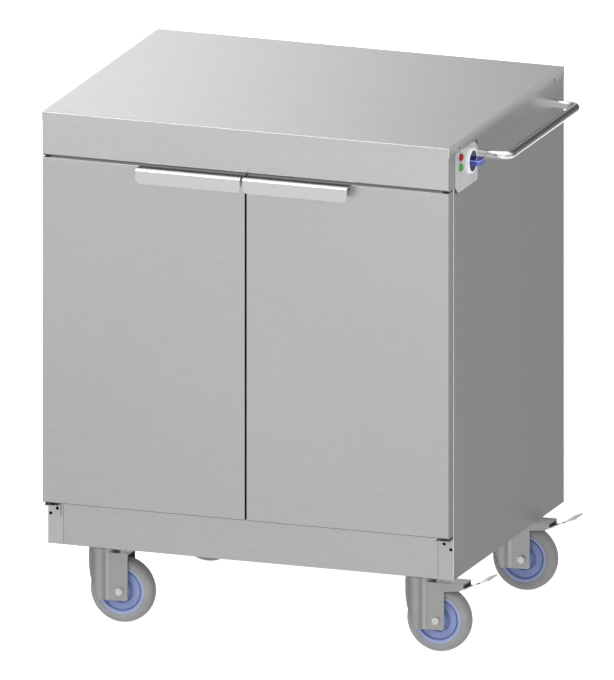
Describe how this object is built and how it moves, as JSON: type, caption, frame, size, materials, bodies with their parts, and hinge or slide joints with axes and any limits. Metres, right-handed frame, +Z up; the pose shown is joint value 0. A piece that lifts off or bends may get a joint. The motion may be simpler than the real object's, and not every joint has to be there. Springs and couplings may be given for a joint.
{
  "type": "heated service cabinet",
  "caption": "Mobile stainless heated cabinet with flat worktop, hinged doors with folded pulls, push handle, side thermostat panel and swivel casters.",
  "frame": {"origin": "on the floor, at the middle of the overall box: left worktop edge to push handle, door pulls to rear gland", "axes": "+X to the right (push handle side), -Y towards the doors, +Z up"},
  "size_m": [0.8582, 0.6786, 0.988],
  "materials": {
    "steel_top": "fine brushed stainless sheet, brushing along the width",
    "steel_front": "fine brushed stainless sheet, horizontal grain",
    "steel_side": "brushed stainless sheet, vertical grain",
    "steel_inner": "mill finish stainless sheet",
    "steel_shelf": "bright stainless sheet",
    "steel_pull": "satin stainless strip",
    "steel_bracket": "plain stainless plate",
    "polished_tube": "polished stainless tube",
    "fastener_steel": "bright zinc-plated steel",
    "black_steel": "blackened steel pin",
    "zinc_steel": "dull zinc-plated pressed steel",
    "pedal_steel": "bright zinc-plated steel",
    "element_sheath": "heat-tinted steel sheath",
    "mineral_wool": "mineral wool slab",
    "gasket_rubber": "black silicone rubber",
    "black_plastic": "black glass-filled nylon",
    "white_plastic": "white moulded plastic",
    "grey_plastic": "dark grey moulded nylon",
    "cable_sleeve": "black sleeved cable bundle",
    "panel_label": "pale grey printed polycarbonate overlay with blue corners",
    "lens_red": "red translucent lens",
    "lens_green": "green translucent lens",
    "knob_blue": "dark blue moulded plastic",
    "hub_blue": "blue moulded polyamide",
    "tyre_grey": "grey non-marking rubber"
  },
  "bodies": {
    "cabinet": {"back_panel": "steel_side", "base_plate": "steel_inner", "caster_top_plates": "zinc_steel", "control_label": "panel_label", "front_skirt": "steel_front", "front_top_rail": "steel_front", "heating_element": "element_sheath", "hex_bolts_m8": "fastener_steel", "hinge_brackets": "steel_bracket", "hinge_pins": "black_steel", "insulation_slabs": "mineral_wool", "knob_bezel": "white_plastic", "lamp_housing": "black_plastic", "lamp_lens_green": "lens_green", "lamp_lens_red": "lens_red", "liner_floor_and_ceiling": "steel_inner", "liner_walls": "steel_inner", "magnetic_catches": "white_plastic", "push_handle": "polished_tube", "shelf_lower": "steel_shelf", "shelf_racks": "steel_inner", "shelf_upper": "steel_shelf", "side_panel_left": "steel_side", "side_panel_right": "steel_side", "supply_gland": "grey_plastic", "terminal_block": "white_plastic", "thermostat": "black_plastic", "top_fascia": "steel_front", "water_pan": "steel_shelf", "wiring_loom": "cable_sleeve", "worktop": "steel_top", "worktop_screws": "black_steel"},
    "door_left": {"door_left_core": "mineral_wool", "door_left_fittings": "black_plastic", "door_left_gasket": "gasket_rubber", "door_left_inner_panel": "steel_inner", "door_left_pull": "steel_pull", "door_left_skin": "steel_front"},
    "door_right": {"door_right_core": "mineral_wool", "door_right_fittings": "black_plastic", "door_right_gasket": "gasket_rubber", "door_right_inner_panel": "steel_inner", "door_right_pull": "steel_pull", "door_right_skin": "steel_front"},
    "thermostat_knob": {"control_knob": "knob_blue", "thermostat_spindle": "fastener_steel"},
    "swivel_front_left": {"caster_fork_front_left": "zinc_steel"},
    "wheel_front_left": {"wheel_hub_front_left": "hub_blue", "wheel_tyre_front_left": "tyre_grey"},
    "swivel_front_right": {"caster_fork_front_right": "zinc_steel"},
    "wheel_front_right": {"wheel_hub_front_right": "hub_blue", "wheel_tyre_front_right": "tyre_grey"},
    "brake_front_right": {"brake_pedal_front_right": "pedal_steel"},
    "swivel_rear_left": {"caster_fork_rear_left": "zinc_steel"},
    "wheel_rear_left": {"wheel_hub_rear_left": "hub_blue", "wheel_tyre_rear_left": "tyre_grey"},
    "swivel_rear_right": {"caster_fork_rear_right": "zinc_steel"},
    "wheel_rear_right": {"wheel_hub_rear_right": "hub_blue", "wheel_tyre_rear_right": "tyre_grey"},
    "brake_rear_right": {"brake_pedal_rear_right": "pedal_steel"}
  },
  "joints": [
    {"name": "door_left_hinge", "type": "hinge", "parent": "cabinet", "child": "door_left", "pos_m": [-0.41895, -0.3003, 0.57], "axis": [0, 0, -1], "range_deg": [0, 110]},
    {"name": "door_right_hinge", "type": "hinge", "parent": "cabinet", "child": "door_right", "pos_m": [0.36065, -0.3003, 0.57], "axis": [0, 0, 1], "range_deg": [0, 110]},
    {"name": "thermostat_turn", "type": "hinge", "parent": "cabinet", "child": "thermostat_knob", "pos_m": [0.37385, -0.2021, 0.937], "axis": [-1, 0, 0], "range_deg": [0, 270]},
    {"name": "swivel_front_left_turn", "type": "hinge", "parent": "cabinet", "child": "swivel_front_left", "pos_m": [-0.33995, -0.2195, 0.14], "axis": [0, 0, 1], "continuous": true},
    {"name": "wheel_front_left_spin", "type": "hinge", "parent": "swivel_front_left", "child": "wheel_front_left", "pos_m": [-0.30295, -0.2195, 0.0625], "axis": [0, 1, 0], "continuous": true},
    {"name": "swivel_front_right_turn", "type": "hinge", "parent": "cabinet", "child": "swivel_front_right", "pos_m": [0.28165, -0.2195, 0.14], "axis": [0, 0, 1], "continuous": true},
    {"name": "wheel_front_right_spin", "type": "hinge", "parent": "swivel_front_right", "child": "wheel_front_right", "pos_m": [0.31865, -0.2195, 0.0625], "axis": [0, 1, 0], "continuous": true},
    {"name": "brake_front_right_press", "type": "hinge", "parent": "swivel_front_right", "child": "brake_front_right", "pos_m": [0.35465, -0.2195, 0.126], "axis": [0, 1, 0], "range_deg": [0, 10]},
    {"name": "swivel_rear_left_turn", "type": "hinge", "parent": "cabinet", "child": "swivel_rear_left", "pos_m": [-0.33995, 0.2485, 0.14], "axis": [0, 0, 1], "continuous": true},
    {"name": "wheel_rear_left_spin", "type": "hinge", "parent": "swivel_rear_left", "child": "wheel_rear_left", "pos_m": [-0.30295, 0.2485, 0.0625], "axis": [0, 1, 0], "continuous": true},
    {"name": "swivel_rear_right_turn", "type": "hinge", "parent": "cabinet", "child": "swivel_rear_right", "pos_m": [0.28165, 0.2485, 0.14], "axis": [0, 0, 1], "continuous": true},
    {"name": "wheel_rear_right_spin", "type": "hinge", "parent": "swivel_rear_right", "child": "wheel_rear_right", "pos_m": [0.31865, 0.2485, 0.0625], "axis": [0, 1, 0], "continuous": true},
    {"name": "brake_rear_right_press", "type": "hinge", "parent": "swivel_rear_right", "child": "brake_rear_right", "pos_m": [0.35465, 0.2485, 0.126], "axis": [0, 1, 0], "range_deg": [0, 10]}
  ]
}
